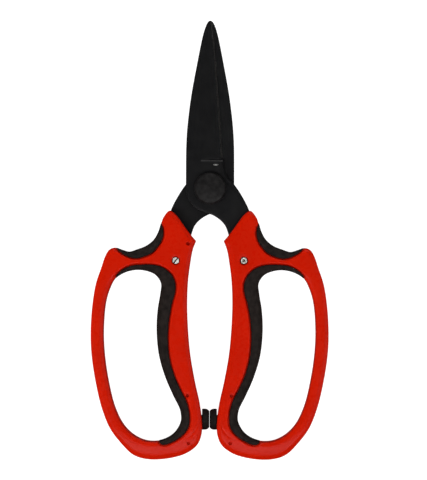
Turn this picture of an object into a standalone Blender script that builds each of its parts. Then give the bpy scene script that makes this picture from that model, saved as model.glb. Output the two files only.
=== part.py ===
"""Floral snips: two crossed blades on one pivot bolt, each with its tang held in a looped two-shell handle.

The snips lie flat. +Y points at the blade tips, +X to the right and +Z up. The origin is on the pivot axis, in
the plane that the snips rest on. Both halves are one design: the left half is the right half turned half a
turn about the Y axis, in the plane where the blades meet. So each piece is drawn once, as it lies in the right
half, measured from the pivot and from that plane. Sizes are in millimetres, and MM turns them into metres.
"""

import math

import bmesh
import bpy
from mathutils import Matrix, Vector

MM = 0.001

# Driving dimensions.
HALF_THICKNESS = 7.0  # from the blades' meeting plane to either face of a handle
BLADE_THICKNESS = 3.0
TIP_Y = 76.5
STEP_Y = 12.6  # where the ground blade begins, above the flat round the pivot
PIVOT_FLAT_RADIUS = 11.0
FACE_GAP = 0.1  # between flat faces that lie on each other
GAP = 0.3  # between other pieces that touch
HANDLE_EDGE = 2.2  # rounding of the handles' edges
GRIP_SKIN = 1.5  # thickness of the soft grips over the shells
HEAD_RADIUS = 7.2
SHANK_RADIUS = 2.5
RUNNING_GAP = 0.08
SQUARE_NECK = 5.6
SCREW_X, SCREW_Y = 15.5, -32.9
BARREL_RADIUS = 1.5
CROSS_HEAD_RADIUS = 1.8
BUMPER_Y = -105.2
BUMPER_RADIUS = 4.8
BUMPER_LENGTH = 3.0
STEM_RADIUS = 2.0
STEM_LENGTH = 4.6
PIT_RADIUS, PIT_DEPTH = 0.8, 0.8
TURNED_SIDES = 28

# Outlines of the right half, each anticlockwise as seen from above.
HANDLE_OUTER = [
    (6.3, -24.0), (7.8, -28.0), (8.9, -34.0), (9.9, -42.0), (10.3, -52.5), (9.9, -64.0), (8.8, -76.0),
    (6.6, -88.5), (4.5, -98.0), (3.4, -106.5), (3.6, -112.0), (5.6, -116.8), (11.0, -120.8), (20.5, -123.2),
    (29.0, -123.2), (34.8, -121.2), (40.6, -115.5), (45.4, -108.9), (49.2, -99.2), (52.2, -86.0),
    (53.8, -74.5), (54.1, -65.0), (53.4, -53.5), (51.8, -43.5), (49.3, -36.0), (47.6, -31.0), (45.8, -28.1),
    (43.4, -27.1), (40.2, -28.1), (36.8, -29.0), (33.0, -27.9), (28.8, -26.2), (25.4, -23.4), (23.3, -19.6),
    (22.2, -16.0), (21.0, -13.0), (18.4, -10.2), (15.7, -11.8), (12.4, -16.1), (9.0, -20.8), (6.3, -24.0),
]
FINGER_HOLE = [
    (24.6, -39.4), (22.1, -43.2), (22.4, -48.0), (23.6, -55.5), (24.0, -65.0), (22.9, -76.0), (19.9, -86.2),
    (16.2, -94.6), (13.2, -101.0), (13.0, -106.4), (16.2, -111.8), (22.0, -114.9), (28.6, -115.0),
    (34.4, -112.4), (39.2, -107.6), (43.1, -99.6), (46.1, -87.5), (47.9, -75.0), (48.3, -64.0), (47.3, -52.0),
    (45.4, -45.5), (42.9, -41.0), (38.6, -38.3), (33.5, -37.1), (28.6, -37.6),
]
# Where each grip ends on the shells, from the finger hole or from outside and back to it.
INNER_GRIP_EDGE = [
    (41.6, -42.6), (42.9, -40.3), (41.7, -38.5), (39.6, -36.8), (36.4, -35.2), (31.5, -34.5), (26.5, -34.5),
    (22.6, -35.3), (19.3, -37.1), (16.7, -39.9), (15.4, -43.4), (15.5, -47.2), (16.9, -52.5), (18.2, -60.0),
    (18.7, -68.5), (17.9, -77.5), (15.8, -85.0), (12.9, -91.6), (10.2, -97.0), (8.9, -102.5), (9.2, -108.4),
    (11.8, -112.2), (16.4, -115.5), (20.8, -117.0), (22.9, -115.8), (23.4, -113.0),
]
INNER_GRIP_INSIDE = [(26.0, -100.0), (32.0, -70.0), (36.0, -48.0)]
THUMB_GRIP_EDGE = [
    (23.4, -13.8), (22.0, -16.0), (21.1, -18.4), (20.9, -20.8), (21.7, -24.0), (23.6, -27.0), (26.2, -29.7),
    (29.6, -31.3), (33.2, -32.2), (36.6, -31.6), (40.0, -29.9), (42.2, -28.0), (43.2, -26.2),
]
THUMB_GRIP_OUTSIDE = [(38.0, -22.0), (30.0, -18.0)]
TANG_AND_BACK = [
    (-1.7, -11.2), (0.6, -11.9), (3.2, -13.3), (5.4, -15.1), (7.0, -17.1), (7.9, -19.3), (9.2, -23.6),
    (10.8, -30.0), (12.0, -40.0), (12.6, -52.0), (12.4, -64.0), (11.4, -75.0), (9.9, -85.0), (9.3, -90.0),
    (10.4, -92.2), (12.8, -92.4), (14.2, -90.0), (15.6, -84.0), (17.7, -75.0), (18.9, -64.0), (19.0, -52.0),
    (18.8, -42.0), (19.6, -30.0), (19.6, -21.0), (19.1, -14.5), (17.9, -10.2), (16.3, -6.6), (13.6, -1.9),
    (11.0, 1.8), (8.2, 4.6), (6.6, 7.6), (6.1, 10.2),
]
SPINE = [
    (-11.1, 11.0), (-10.9, 19.5), (-10.4, 28.0), (-8.8, 41.4), (-6.2, 56.0), (-3.2, 70.6), (-1.9, 74.5),
    (-0.9, TIP_Y),
]
CUTTING_EDGE = [(6.0, 11.0), (1.0, 74.5), (0.5, TIP_Y)]
SHARED_PITS = [(10.0, -94.3), (9.5, -115.8)]
BACK_PIT = (9.9, -25.2)


def clear_scene():
    for item in list(bpy.data.objects):
        bpy.data.objects.remove(item, do_unlink=True)


def material(name, colour, roughness, metallic=0.0):
    made = bpy.data.materials.new(name)
    made.use_nodes = True
    shader = made.node_tree.nodes["Principled BSDF"]
    shader.inputs["Base Color"].default_value = (*colour, 1.0)
    shader.inputs["Roughness"].default_value = roughness
    shader.inputs["Metallic"].default_value = metallic
    return made


def smooth(points, steps, closed=False):
    """A smooth curve through the points, with that many steps from each point to the next."""
    given = [Vector(p) for p in points]
    count = len(given)
    before = given[-1] if closed else given[0] * 2 - given[1]
    after = [given[0], given[1]] if closed else [given[-1] * 2 - given[-2]]
    row = [before, *given, *after]
    curve = []
    for i in range(1, count + 1 if closed else count):
        start, end = row[i], row[i + 1]
        spans = [(row[k + 1] - row[k]).length ** 0.5 for k in (i - 1, i, i + 1)]
        slopes = [(row[k + 1] - row[k]) / spans[k - i + 1] for k in (i - 1, i, i + 1)]
        leave = (slopes[0] * spans[1] + slopes[1] * spans[0]) / (spans[0] + spans[1]) * spans[1]
        arrive = (slopes[1] * spans[2] + slopes[2] * spans[1]) / (spans[1] + spans[2]) * spans[1]
        for step in range(steps):
            t = step / steps
            rise = t * t * (3 - 2 * t)
            curve.append(
                start * (1 - rise) + end * rise + leave * t * (1 - t) ** 2 - arrive * t * t * (1 - t)
            )
    return curve if closed else [*curve, given[-1]]


def arc(radius, start, end, count):
    """Points on a circle round the pivot, between two angles in degrees."""
    angles = [math.radians(start + (end - start) * i / (count - 1)) for i in range(count)]
    return [Vector((radius * math.cos(a), radius * math.sin(a))) for a in angles]


def offset(loop, distance):
    """A closed outline moved to the left of its direction, which is inwards on an anticlockwise one."""
    moved = []
    for i, point in enumerate(loop):
        arriving = (point - loop[i - 1]).normalized()
        leaving = (loop[(i + 1) % len(loop)] - point).normalized()
        along = (arriving + leaving).normalized()
        stretch = 1 / max(0.5, along.dot(leaving))
        moved.append(point + Vector((-along.y, along.x)) * distance * stretch)
    return moved


def place(name, mesh, parent, paint, helper=False):
    """An object for the mesh, whose vertices are in millimetres. A helper only cuts or joins."""
    mesh.transform(Matrix.Scale(MM, 4))
    item = bpy.data.objects.new(name, mesh)
    bpy.context.scene.collection.objects.link(item)
    item.parent = parent
    if helper:
        item.hide_render = True
        item.display_type = "WIRE"
    else:
        mesh.materials.append(paint)
        mesh.shade_smooth()
        mesh.set_sharp_from_angle(angle=math.radians(35))
    return item


def mesh_of(bm, name):
    bmesh.ops.recalc_face_normals(bm, faces=bm.faces)
    mesh = bpy.data.meshes.new(name)
    bm.to_mesh(mesh)
    bm.free()
    return mesh


def rounding(z, inwards, radius, steps):
    """(height, inset) from the rounded edge's face at z down its side; inwards is +1 or -1 along z."""
    if radius == 0:
        return [(z, 0.0)]
    turns = [math.radians(90 * i / steps) for i in range(steps + 1)]
    return [(z + inwards * radius * (1 - math.cos(a)), radius * (1 - math.sin(a))) for a in turns]


def plate(name, outer, low, high, holes=(), low_edge=0.0, high_edge=0.0, steps=2):
    """The mesh of a flat plate with this outline, and these holes, from low to high, with rounded edges."""
    levels = rounding(low, 1, low_edge, steps) + rounding(high, -1, high_edge, steps)[::-1]
    bm = bmesh.new()
    ends = ([], [])
    for loop, side in [(outer, 1), *((hole, -1) for hole in holes)]:
        rings = [
            [bm.verts.new((p.x, p.y, z)) for p in offset(loop, side * inset)] for z, inset in levels
        ]
        for below, above in zip(rings, rings[1:]):
            for i in range(len(loop)):
                bm.faces.new((below[i - 1], below[i], above[i], above[i - 1]))
        for end, ring in zip(ends, (rings[0], rings[-1])):
            end.extend(bm.edges.get((ring[i - 1], ring[i])) for i in range(len(ring)))
    for end in ends:
        bmesh.ops.triangle_fill(bm, edges=end, use_beauty=True)
    return mesh_of(bm, name)


def turned(name, profile, sides=TURNED_SIDES):
    """The mesh of a closed profile of (radius, height) points turned round the Z axis."""
    bm = bmesh.new()
    rings = []
    for i in range(sides):
        angle = 2 * math.pi * i / sides
        rings.append([bm.verts.new((r * math.cos(angle), r * math.sin(angle), z)) for r, z in profile])
    for i in range(sides):
        for k in range(len(profile)):
            bm.faces.new((rings[i - 1][k - 1], rings[i][k - 1], rings[i][k], rings[i - 1][k]))
    bmesh.ops.remove_doubles(bm, verts=bm.verts, dist=1e-5)
    bmesh.ops.dissolve_degenerate(bm, edges=bm.edges, dist=1e-5)
    return mesh_of(bm, name)


def box(name, low, high):
    """The mesh of a box between two corners."""
    bm = bmesh.new()
    bmesh.ops.create_cube(bm, size=1.0)
    for vertex in bm.verts:
        vertex.co = Vector([b if c > 0 else a for a, b, c in zip(low, high, vertex.co)])
    return mesh_of(bm, name)


def cut(item, other, operation="DIFFERENCE"):
    modifier = item.modifiers.new(other.name, "BOOLEAN")
    modifier.operation = operation
    modifier.object = other
    return item


def bored(item, x, y, radius, low, high, sides=16):
    """Cuts a round hole along Z through the piece, from low to high."""
    drill = turned(item.name + "_drill", [(0, low), (radius, low), (radius, high), (0, high)], sides)
    drill.transform(Matrix.Translation((x, y, 0)))
    return cut(item, place(drill.name, drill, item.parent, None, helper=True))


def handle_outline():
    return smooth(HANDLE_OUTER, 2)[:-1]


def hole_outline():
    return smooth(FINGER_HOLE, 2, closed=True)


def blade_outline():
    """The flat of the blade round the pivot, and its tang."""
    side = [Vector((-10.9, STEP_Y)), Vector((-11.0, 6.0))]
    round_flat = arc(PIVOT_FLAT_RADIUS, 175, 250, 10)
    return [*side, *round_flat, *smooth(TANG_AND_BACK, 2), Vector((6.2, STEP_Y))]


def tang_bed_outline():
    """The tang's part of that outline, with room round it and open at the mouth."""
    tang = [p for p in smooth(TANG_AND_BACK, 2) if p.y < -2.0]
    return offset(tang, -GAP)


def ground_blade(name):
    """The mesh of the ground part of a blade: a bevelled spine, a hollow face and a honed cutting edge."""
    stations = 14
    spine = smooth(SPINE, 6)
    edge = smooth(CUTTING_EDGE, 6)
    low = FACE_GAP
    bm = bmesh.new()
    rings = []
    for i in range(stations):
        share = i / (stations - 1)
        y = STEP_Y - 1.2 + (TIP_Y - STEP_Y + 1.2) * share ** 0.85
        left, right = x_at(spine, y), x_at(edge, y)
        width = right - left
        top = low + BLADE_THICKNESS * (0.86 - 0.5 * share)
        bevel = min(3.8, 0.42 * width)
        honed = min(0.9, 0.22 * width)
        profile = [
            (left, low), (right, low), (right, low + 0.15), (right - honed, low + 0.6 * honed + 0.15),
            (left + 0.62 * width, low + 0.62 * (top - low)), (left + bevel, top), (left, low + 0.6 * (top - low)),
        ]
        rings.append([bm.verts.new((x, y, z)) for x, z in profile])
    for below, above in zip(rings, rings[1:]):
        for k in range(len(below)):
            bm.faces.new((below[k - 1], below[k], above[k], above[k - 1]))
    bm.faces.new(rings[0])
    bm.faces.new(rings[-1])
    return mesh_of(bm, name)


def x_at(curve, y):
    """The x of a curve that climbs along Y, at this y."""
    for a, b in zip(curve, curve[1:]):
        if a.y <= y <= b.y:
            return a.x + (b.x - a.x) * (y - a.y) / (b.y - a.y)
    return curve[-1].x


def blade(name, half, steel, square_hole):
    """A blade, its flat round the pivot and its tang, in one steel plate."""
    low = FACE_GAP / 2
    high = low + BLADE_THICKNESS
    item = place(name, plate(name, blade_outline(), low, high, high_edge=0.35, steps=1), half, steel)
    cut(item, place(name + "_ground", ground_blade(name + "_ground"), half, None, helper=True), "UNION")
    if square_hole:
        reach = SQUARE_NECK / 2 + GAP
        hole = box(name + "_square", (-reach, -reach, -1), (reach, reach, high + 1))
        cut(item, place(name + "_square", hole, half, None, helper=True))
    else:
        bored(item, 0, 0, SHANK_RADIUS + RUNNING_GAP, -1, high + 1, TURNED_SIDES)
    return bored(item, SCREW_X, SCREW_Y, BARREL_RADIUS + GAP, -1, high + 1)


def handle_core(name, half, inset, reach):
    """A helper: the handle's form made smaller all round, to the given half thickness."""
    outer = offset(handle_outline(), inset)
    hole = offset(hole_outline(), -inset)
    return place(name, plate(name, outer, -reach, reach, holes=[hole]), half, None, helper=True)


def grip_region(name, half, edge, beyond, grow):
    """A helper: the prism that a grip fills, grown by the given distance."""
    outline = [*smooth(edge, 2), *[Vector(p) for p in beyond]]
    reach = HALF_THICKNESS + 1
    return place(name, plate(name, offset(outline, -grow), -reach, reach), half, None, helper=True)


def grip_edges():
    return (
        ("inner", INNER_GRIP_EDGE, INNER_GRIP_INSIDE),
        ("thumb", THUMB_GRIP_EDGE, THUMB_GRIP_OUTSIDE),
    )


def shell(name, half, red, front):
    """One red shell of a handle, stepped down where the grips wrap it."""
    near, far = FACE_GAP / 2, HALF_THICKNESS
    edges = {"high_edge": HANDLE_EDGE} if front else {"low_edge": HANDLE_EDGE}
    low, high = (near, far) if front else (-far, -near)
    item = place(name, plate(name, handle_outline(), low, high, [hole_outline()], **edges), half, red)
    room = GRIP_SKIN + GAP
    for kind, edge, beyond in grip_edges():
        region = grip_region(f"{name}_{kind}_region", half, edge, beyond, GAP)
        cut(region, handle_core(f"{name}_{kind}_core", half, room, far - room))
        cut(item, region)
    if front:
        bed = plate(name + "_bed", tang_bed_outline(), -1, near + BLADE_THICKNESS + GAP)
        cut(item, place(name + "_bed", bed, half, None, helper=True))
    side = 1 if front else -1
    bored(item, SCREW_X, SCREW_Y, BARREL_RADIUS + GAP, -far - 1, far + 1)
    ledge = sorted((side * (far - 1.3), side * (far + 1)))
    bored(item, SCREW_X, SCREW_Y, CROSS_HEAD_RADIUS + 0.35, *ledge)
    pits = SHARED_PITS if front else [*SHARED_PITS, BACK_PIT]
    for x, y in pits:
        bored(item, x, y, PIT_RADIUS, *sorted((side * (far - PIT_DEPTH), side * (far + 1))), 8)
    socket = turned(name + "_socket", stem_profile(STEM_RADIUS + GAP, 0, STEM_LENGTH + 4.0), 16)
    lay_along_x(socket)
    return cut(item, place(name + "_socket", socket, half, None, helper=True))


def stem_profile(radius, low, high):
    return [(0, low), (radius, low), (radius, high), (0, high)]


def lay_along_x(mesh):
    """Turns a piece that was turned round Z onto the bumpers' axis, growing away from the other half."""
    mesh.transform(Matrix.Translation((0, BUMPER_Y, 0)) @ Matrix.Rotation(math.pi / 2, 4, "Y"))


def grip(name, half, rubber, kind):
    """A soft grip: the handle's outer form within its region, hollowed where it wraps the shells."""
    edge, beyond = next((e, b) for k, e, b in grip_edges() if k == kind)
    far = HALF_THICKNESS
    form = plate(
        name, handle_outline(), -far, far, [hole_outline()], low_edge=HANDLE_EDGE, high_edge=HANDLE_EDGE
    )
    item = place(name, form, half, rubber)
    cut(item, grip_region(name + "_region", half, edge, beyond, 0), "INTERSECT")
    return cut(item, handle_core(name + "_core", half, GRIP_SKIN, far - GRIP_SKIN))


def bumper(name, half, rubber):
    """A rubber stop button, with a stem that is held between the shells."""
    face = FACE_GAP * 1.5
    back = face + BUMPER_LENGTH
    corner = 1.4
    profile = [
        (0, face), (BUMPER_RADIUS - corner, face), (BUMPER_RADIUS - corner * 0.3, face + corner * 0.3),
        (BUMPER_RADIUS, face + corner), (BUMPER_RADIUS, back), (STEM_RADIUS, back),
        (STEM_RADIUS, back + STEM_LENGTH), (0, back + STEM_LENGTH),
    ]
    mesh = turned(name, profile, 24)
    lay_along_x(mesh)
    return place(name, mesh, half, rubber)


def barrel_nut(name, half, steel):
    """A hollow nut through the tang, with its round head in the front shell."""
    head = HALF_THICKNESS - 0.4
    under = head - 0.8
    foot = -HALF_THICKNESS + 1.6
    bore = 1.0
    profile = [
        (bore, foot), (BARREL_RADIUS, foot), (BARREL_RADIUS, under), (CROSS_HEAD_RADIUS, under),
        (CROSS_HEAD_RADIUS, head - 0.2), (CROSS_HEAD_RADIUS - 0.2, head), (bore, head),
    ]
    mesh = turned(name, profile, 20)
    mesh.transform(Matrix.Translation((SCREW_X, SCREW_Y, 0)))
    return place(name, mesh, half, steel)


def handle_screw(name, half, steel):
    """A slotted screw that turns into the barrel nut from the back shell."""
    head = -HALF_THICKNESS + 0.4
    under = head + 0.8
    shank = 0.8
    profile = [
        (0, head), (CROSS_HEAD_RADIUS - 0.2, head), (CROSS_HEAD_RADIUS, head + 0.2),
        (CROSS_HEAD_RADIUS, under), (shank, under), (shank, 2.0), (0, 2.0),
    ]
    mesh = turned(name, profile, 20)
    mesh.transform(Matrix.Translation((SCREW_X, SCREW_Y, 0)))
    item = place(name, mesh, half, steel)
    slot = box(name + "_slot", (-3, -0.25, head - 1), (3, 0.25, head + 0.4))
    slot.transform(Matrix.Translation((SCREW_X, SCREW_Y, 0)) @ Matrix.Rotation(math.radians(40), 4, "Z"))
    return cut(item, place(name + "_slot", slot, half, None, helper=True))


def pivot_bolt(name, half, coated):
    """The bolt: a smooth domed head, a square neck in the front blade and a shank to the rest plane."""
    top_of_blade = FACE_GAP / 2 + BLADE_THICKNESS
    washer = 0.5
    under = top_of_blade + washer + 2 * FACE_GAP
    rim = under + 0.9
    dome = [
        (HEAD_RADIUS * math.cos(math.radians(a)), rim + 2.3 * math.sin(math.radians(a)))
        for a in (0, 20, 40, 60, 76)
    ]
    profile = [
        (0, -HALF_THICKNESS), (SHANK_RADIUS, -HALF_THICKNESS), (SHANK_RADIUS, under), (HEAD_RADIUS - 0.3, under),
        (HEAD_RADIUS, under + 0.3), *dome, (0, rim + 2.3),
    ]
    item = place(name, turned(name, profile), half, coated)
    reach = SQUARE_NECK / 2
    neck = box(name + "_neck", (-reach, -reach, FACE_GAP), (reach, reach, under + 0.2))
    return cut(item, place(name + "_neck", neck, half, None, helper=True), "UNION")


def head_washer(name, half, steel):
    low = FACE_GAP * 1.5 + BLADE_THICKNESS
    inner = SQUARE_NECK / 2 * math.sqrt(2) + GAP
    profile = [(inner, low), (HEAD_RADIUS - 0.7, low), (HEAD_RADIUS - 0.7, low + 0.5), (inner, low + 0.5)]
    return place(name, turned(name, profile), half, steel)


def spring_washer(name, half, steel):
    """A dished washer: its inner rim bears on the rear blade and its outer rim on the nut."""
    top = -(FACE_GAP * 1.5 + BLADE_THICKNESS)
    inner, outer, dish, thick = SHANK_RADIUS + GAP, 5.4, 0.25, 0.5
    profile = [(inner, top - thick), (outer, top - thick - dish), (outer, top - dish), (inner, top)]
    return place(name, turned(name, profile), half, steel)


def pivot_nut(name, half, steel):
    top = -(FACE_GAP * 2.5 + BLADE_THICKNESS + 0.75)
    corners = arc(5.6, 0, 300, 6)
    hole = arc(SHANK_RADIUS + GAP, 0, 345, 24)
    mesh = plate(name, corners, -HALF_THICKNESS, top, [hole], low_edge=0.4, high_edge=0.4, steps=1)
    return place(name, mesh, half, steel)


def half_frame(name, turn):
    """An empty on the pivot axis, in the plane where the blades meet."""
    frame = bpy.data.objects.new(name, None)
    bpy.context.scene.collection.objects.link(frame)
    frame.location = (0, 0, HALF_THICKNESS * MM)
    frame.rotation_euler = (0, turn, 0)
    return frame


def main():
    clear_scene()
    red = material("red_plastic", (0.58, 0.012, 0.003), 0.35)
    rubber = material("black_rubber", (0.026, 0.023, 0.02), 0.75)
    coated = material("coated_steel", (0.012, 0.012, 0.013), 0.5)
    steel = material("bright_steel", (0.6, 0.58, 0.55), 0.3, 1.0)
    for side, turn in (("right", 0.0), ("left", math.pi)):
        half = half_frame(side + "_half", turn)
        front, back = ("front", "back") if side == "right" else ("back", "front")
        blade("front_blade" if side == "right" else "rear_blade", half, coated, side == "right")
        shell(f"{side}_{front}_shell", half, red, True)
        shell(f"{side}_{back}_shell", half, red, False)
        grip(f"{side}_inner_grip", half, rubber, "inner")
        grip(f"{side}_thumb_grip", half, rubber, "thumb")
        bumper(f"{side}_bumper", half, rubber)
        barrel_nut(f"{side}_barrel_nut", half, steel)
        handle_screw(f"{side}_handle_screw", half, steel)
        if side == "right":
            pivot_bolt("pivot_bolt", half, coated)
            head_washer("head_washer", half, coated)
            spring_washer("spring_washer", half, coated)
            pivot_nut("pivot_nut", half, coated)


main()
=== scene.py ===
"""Floral snips: the finished look of every piece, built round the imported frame.

Each piece is drawn as it lies in the right half, in millimetres from the pivot axis and from the plane where
the blades meet. The left half is the same design turned over, so place() turns its pieces over about Y.
"""

import math

import bmesh
import bpy
import numpy as np
from mathutils import Matrix, Vector
from mathutils.geometry import delaunay_2d_cdt


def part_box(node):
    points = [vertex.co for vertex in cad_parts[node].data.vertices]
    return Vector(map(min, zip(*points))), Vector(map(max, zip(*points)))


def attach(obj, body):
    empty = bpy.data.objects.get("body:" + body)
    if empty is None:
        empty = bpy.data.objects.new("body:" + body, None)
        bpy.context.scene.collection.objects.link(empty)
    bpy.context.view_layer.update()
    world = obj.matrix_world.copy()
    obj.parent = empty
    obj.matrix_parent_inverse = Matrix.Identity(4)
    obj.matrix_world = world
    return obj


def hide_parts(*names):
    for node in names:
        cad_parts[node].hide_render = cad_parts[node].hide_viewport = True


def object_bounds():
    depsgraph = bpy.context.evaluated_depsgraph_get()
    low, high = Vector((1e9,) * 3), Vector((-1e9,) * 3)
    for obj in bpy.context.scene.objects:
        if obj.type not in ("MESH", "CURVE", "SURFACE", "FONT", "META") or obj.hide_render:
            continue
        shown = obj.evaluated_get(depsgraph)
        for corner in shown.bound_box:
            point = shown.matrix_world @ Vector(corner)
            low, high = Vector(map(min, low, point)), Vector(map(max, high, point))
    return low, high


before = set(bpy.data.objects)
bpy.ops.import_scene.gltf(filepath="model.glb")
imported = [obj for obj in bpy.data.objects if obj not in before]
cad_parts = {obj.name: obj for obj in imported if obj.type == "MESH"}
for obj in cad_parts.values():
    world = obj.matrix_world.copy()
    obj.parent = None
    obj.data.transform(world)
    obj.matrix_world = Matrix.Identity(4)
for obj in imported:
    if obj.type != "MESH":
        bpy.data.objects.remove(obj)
cad_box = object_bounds()

MM = 0.001


def millimetres(node):
    """A CAD node's lowest and highest corner, in millimetres."""
    low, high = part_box(node)
    return low / MM, high / MM


# Sizes and places from the frame.
FRONT_BLADE = millimetres("front_blade")
REAR_BLADE = millimetres("rear_blade")
MEETING = (FRONT_BLADE[0].z + REAR_BLADE[1].z) / 2
HALF_THICKNESS = MEETING - cad_box[0].z / MM
TIP_Y = FRONT_BLADE[1].y
BLADE_LOW = FRONT_BLADE[0].z - MEETING
BLADE_TOP = FRONT_BLADE[1].z - MEETING
BARREL = millimetres("right_barrel_nut")
SCREW = millimetres("right_handle_screw")
SCREW_X, SCREW_Y = (BARREL[0].x + BARREL[1].x) / 2, (BARREL[0].y + BARREL[1].y) / 2
CROSS_HEAD_RADIUS = (BARREL[1].x - BARREL[0].x) / 2 - 0.2
BUMPER = millimetres("right_bumper")
BUMPER_Y = (BUMPER[0].y + BUMPER[1].y) / 2
BUMPER_RADIUS = (BUMPER[1].y - BUMPER[0].y) / 2
BOLT = millimetres("pivot_bolt")
HEAD_RADIUS = (BOLT[1].x - BOLT[0].x) / 2
HEAD_WASHER = millimetres("head_washer")
SPRING_WASHER = millimetres("spring_washer")
NUT = millimetres("pivot_nut")

# Sizes that the frame doesn't hold.
FACE_TOP = HALF_THICKNESS - 0.1  # the handles' flat faces, just under the soft grips'
EDGE_REACH = 2.3  # how far the rounding of a handle's edge reaches in
EDGE_DROP = 2.2  # and how far down its side
EDGE_POWER = 2.8  # 2 would round it as an ellipse, and more keeps it squarer
GRIP_SKIN = 1.65  # thickness of the soft grips over the shells
LAND_INSET = 1.8  # the step in the shells that the grips wrap
GROOVE = 0.5  # between a grip and the shell
GRIP_PROUD = 0.12  # how far the grips' sides stand out past the shells'
GROOVE_EASE = 0.5  # rounding of the shells' edge along a grip
BOW_START, BOW_CURVE = -109.0, 0.008  # where the handles' faces start to fall away, and how fast
STEP_Y = 12.6  # where the ground blade begins
PIVOT_FLAT_RADIUS = 11.0
BARREL_RADIUS = 1.5
BRIGHT_RADIUS = 1.45  # of the bright disc on the cross screw's two heads; outside it the heads are painted black as painted shade
SHANK_RADIUS = 2.5
SQUARE_NECK = 5.6  # of the pivot bolt, across its flats
STEM_RADIUS = 2.0  # of the bumpers
PIT_RADIUS, PIT_DEPTH = 0.8, 1.6
GAP = 0.3  # between other pieces that touch
FIT = 0.06  # round the cross screw, and between the shells and the grips that wrap them
HEAD_RING, HEAD_POCKET = 0.3, 1.3  # the dark ring round the cross screw's heads: its width and depth
EDGE_LAND, HONED_SLOPE = 0.12, 0.62  # thickness of the very edge, and how steeply the honed strip climbs
SPINE_SHARE = 0.62  # of the ridge's height that is left at the spine
CREASE_DEPTH, CREASE_REACH = 0.16, 0.5
HONED_WIDTH = 0.8
DIMPLE, DIMPLE_HALF, DIMPLE_DEPTH = np.array((2.7, 11.0)), np.array((1.6, 0.6)), 0.2

# Outlines of the right half, each anticlockwise as seen from above.
HANDLE_OUTER = [
    (6.3, -24.0), (7.8, -28.0), (8.9, -34.0), (9.9, -42.0), (10.3, -52.5), (9.9, -64.0), (8.8, -76.0),
    (6.6, -88.5), (4.5, -98.0), (3.4, -106.5), (3.6, -112.0), (5.6, -116.8), (11.0, -120.8), (20.5, -123.2),
    (29.0, -123.2), (34.8, -121.2), (40.6, -115.5), (45.4, -108.9), (49.2, -99.2), (52.2, -86.0),
    (53.8, -74.5), (54.1, -65.0), (53.4, -53.5), (51.8, -43.5), (49.3, -36.0), (47.6, -31.0), (45.8, -28.1),
    (43.4, -27.1), (40.2, -28.1), (36.8, -29.0), (33.0, -27.9), (28.8, -26.2), (25.4, -23.4), (23.3, -19.6),
    (22.2, -16.0), (21.0, -13.0), (18.4, -10.2), (15.7, -11.8), (12.4, -16.1), (9.0, -20.8), (6.3, -24.0),
]
FINGER_HOLE = [
    (24.6, -39.4), (22.1, -43.2), (22.4, -48.0), (23.6, -55.5), (24.0, -65.0), (22.9, -76.0), (19.9, -86.2),
    (16.2, -94.6), (13.2, -101.0), (13.0, -106.4), (16.2, -111.8), (22.0, -114.9), (28.6, -115.0),
    (34.4, -112.4), (39.2, -107.6), (43.1, -99.6), (46.1, -87.5), (47.9, -75.0), (48.3, -64.0), (47.3, -52.0),
    (45.4, -45.5), (42.9, -41.0), (38.6, -38.3), (33.5, -37.1), (28.6, -37.6),
]
INNER_GRIP_EDGE = [
    (41.6, -42.6), (42.9, -40.3), (41.7, -38.5), (39.6, -36.8), (36.4, -35.2), (31.5, -34.5), (26.5, -34.5),
    (22.6, -35.3), (19.3, -37.1), (16.7, -39.9), (15.4, -43.4), (15.5, -47.2), (16.9, -52.5), (18.2, -60.0),
    (18.7, -68.5), (17.9, -77.5), (15.8, -85.0), (12.9, -91.6), (10.2, -97.0), (8.9, -102.5), (9.2, -108.4),
    (11.8, -112.2), (16.4, -115.5), (20.8, -117.0), (22.9, -115.8), (23.4, -113.0),
]
INNER_GRIP_INSIDE = [(26.0, -100.0), (32.0, -70.0), (36.0, -48.0)]
THUMB_GRIP_EDGE = [
    (23.4, -13.8), (22.0, -16.0), (21.1, -18.4), (20.9, -20.8), (21.7, -24.0), (23.6, -27.0), (26.2, -29.7),
    (29.6, -31.3), (33.2, -32.2), (36.6, -31.6), (40.0, -29.9), (42.2, -28.0), (43.2, -26.2),
]
THUMB_GRIP_OUTSIDE = [(38.0, -22.0), (30.0, -18.0)]
TANG_AND_BACK = [
    (-1.7, -11.2), (0.6, -11.9), (3.2, -13.3), (5.4, -15.1), (7.0, -17.1), (7.9, -19.3), (9.2, -23.6),
    (10.8, -30.0), (12.0, -40.0), (12.6, -52.0), (12.4, -64.0), (11.4, -75.0), (9.9, -85.0), (9.3, -90.0),
    (10.4, -92.2), (12.8, -92.4), (14.2, -90.0), (15.6, -84.0), (17.7, -75.0), (18.9, -64.0), (19.0, -52.0),
    (18.8, -42.0), (19.6, -30.0), (19.6, -21.0), (19.1, -14.5), (17.9, -10.2), (16.3, -6.6), (13.6, -1.9),
    (11.0, 1.8), (8.2, 4.6), (6.6, 7.6), (6.1, 10.2),
]
SPINE = [
    (-PIVOT_FLAT_RADIUS, 11.0), (-10.9, 19.5), (-10.4, 28.0), (-8.8, 41.4), (-6.2, 56.0), (-3.2, 70.6),
    (-1.9, 74.5), (-0.9, TIP_Y),
]
CUTTING_EDGE = [(6.0, 11.0), (1.0, 74.5), (0.5, TIP_Y)]
BLADE_TIP = [(0.9, 75.4), (0.62, 76.1), (0.0, TIP_Y), (-0.75, 76.2), (-1.3, 75.6)]
RIDGE = [(-3.7, 11.0), (-4.5, 20.0), (-5.3, 31.0), (-5.5, 38.0), (-5.35, 45.0), (-5.0, 54.0), (-4.6, 63.5)]
HEEL_CREASE = [(4.75, -105.4), (5.15, -107.4), (6.15, -109.7), (8.25, -112.2), (11.4, -114.4)]
SHARED_PITS = [(10.0, -94.3), (9.5, -115.8)]
BACK_PIT = (9.9, -25.2)


# Flat geometry. A loop or a curve is an array of points, and a loop is closed.


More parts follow.
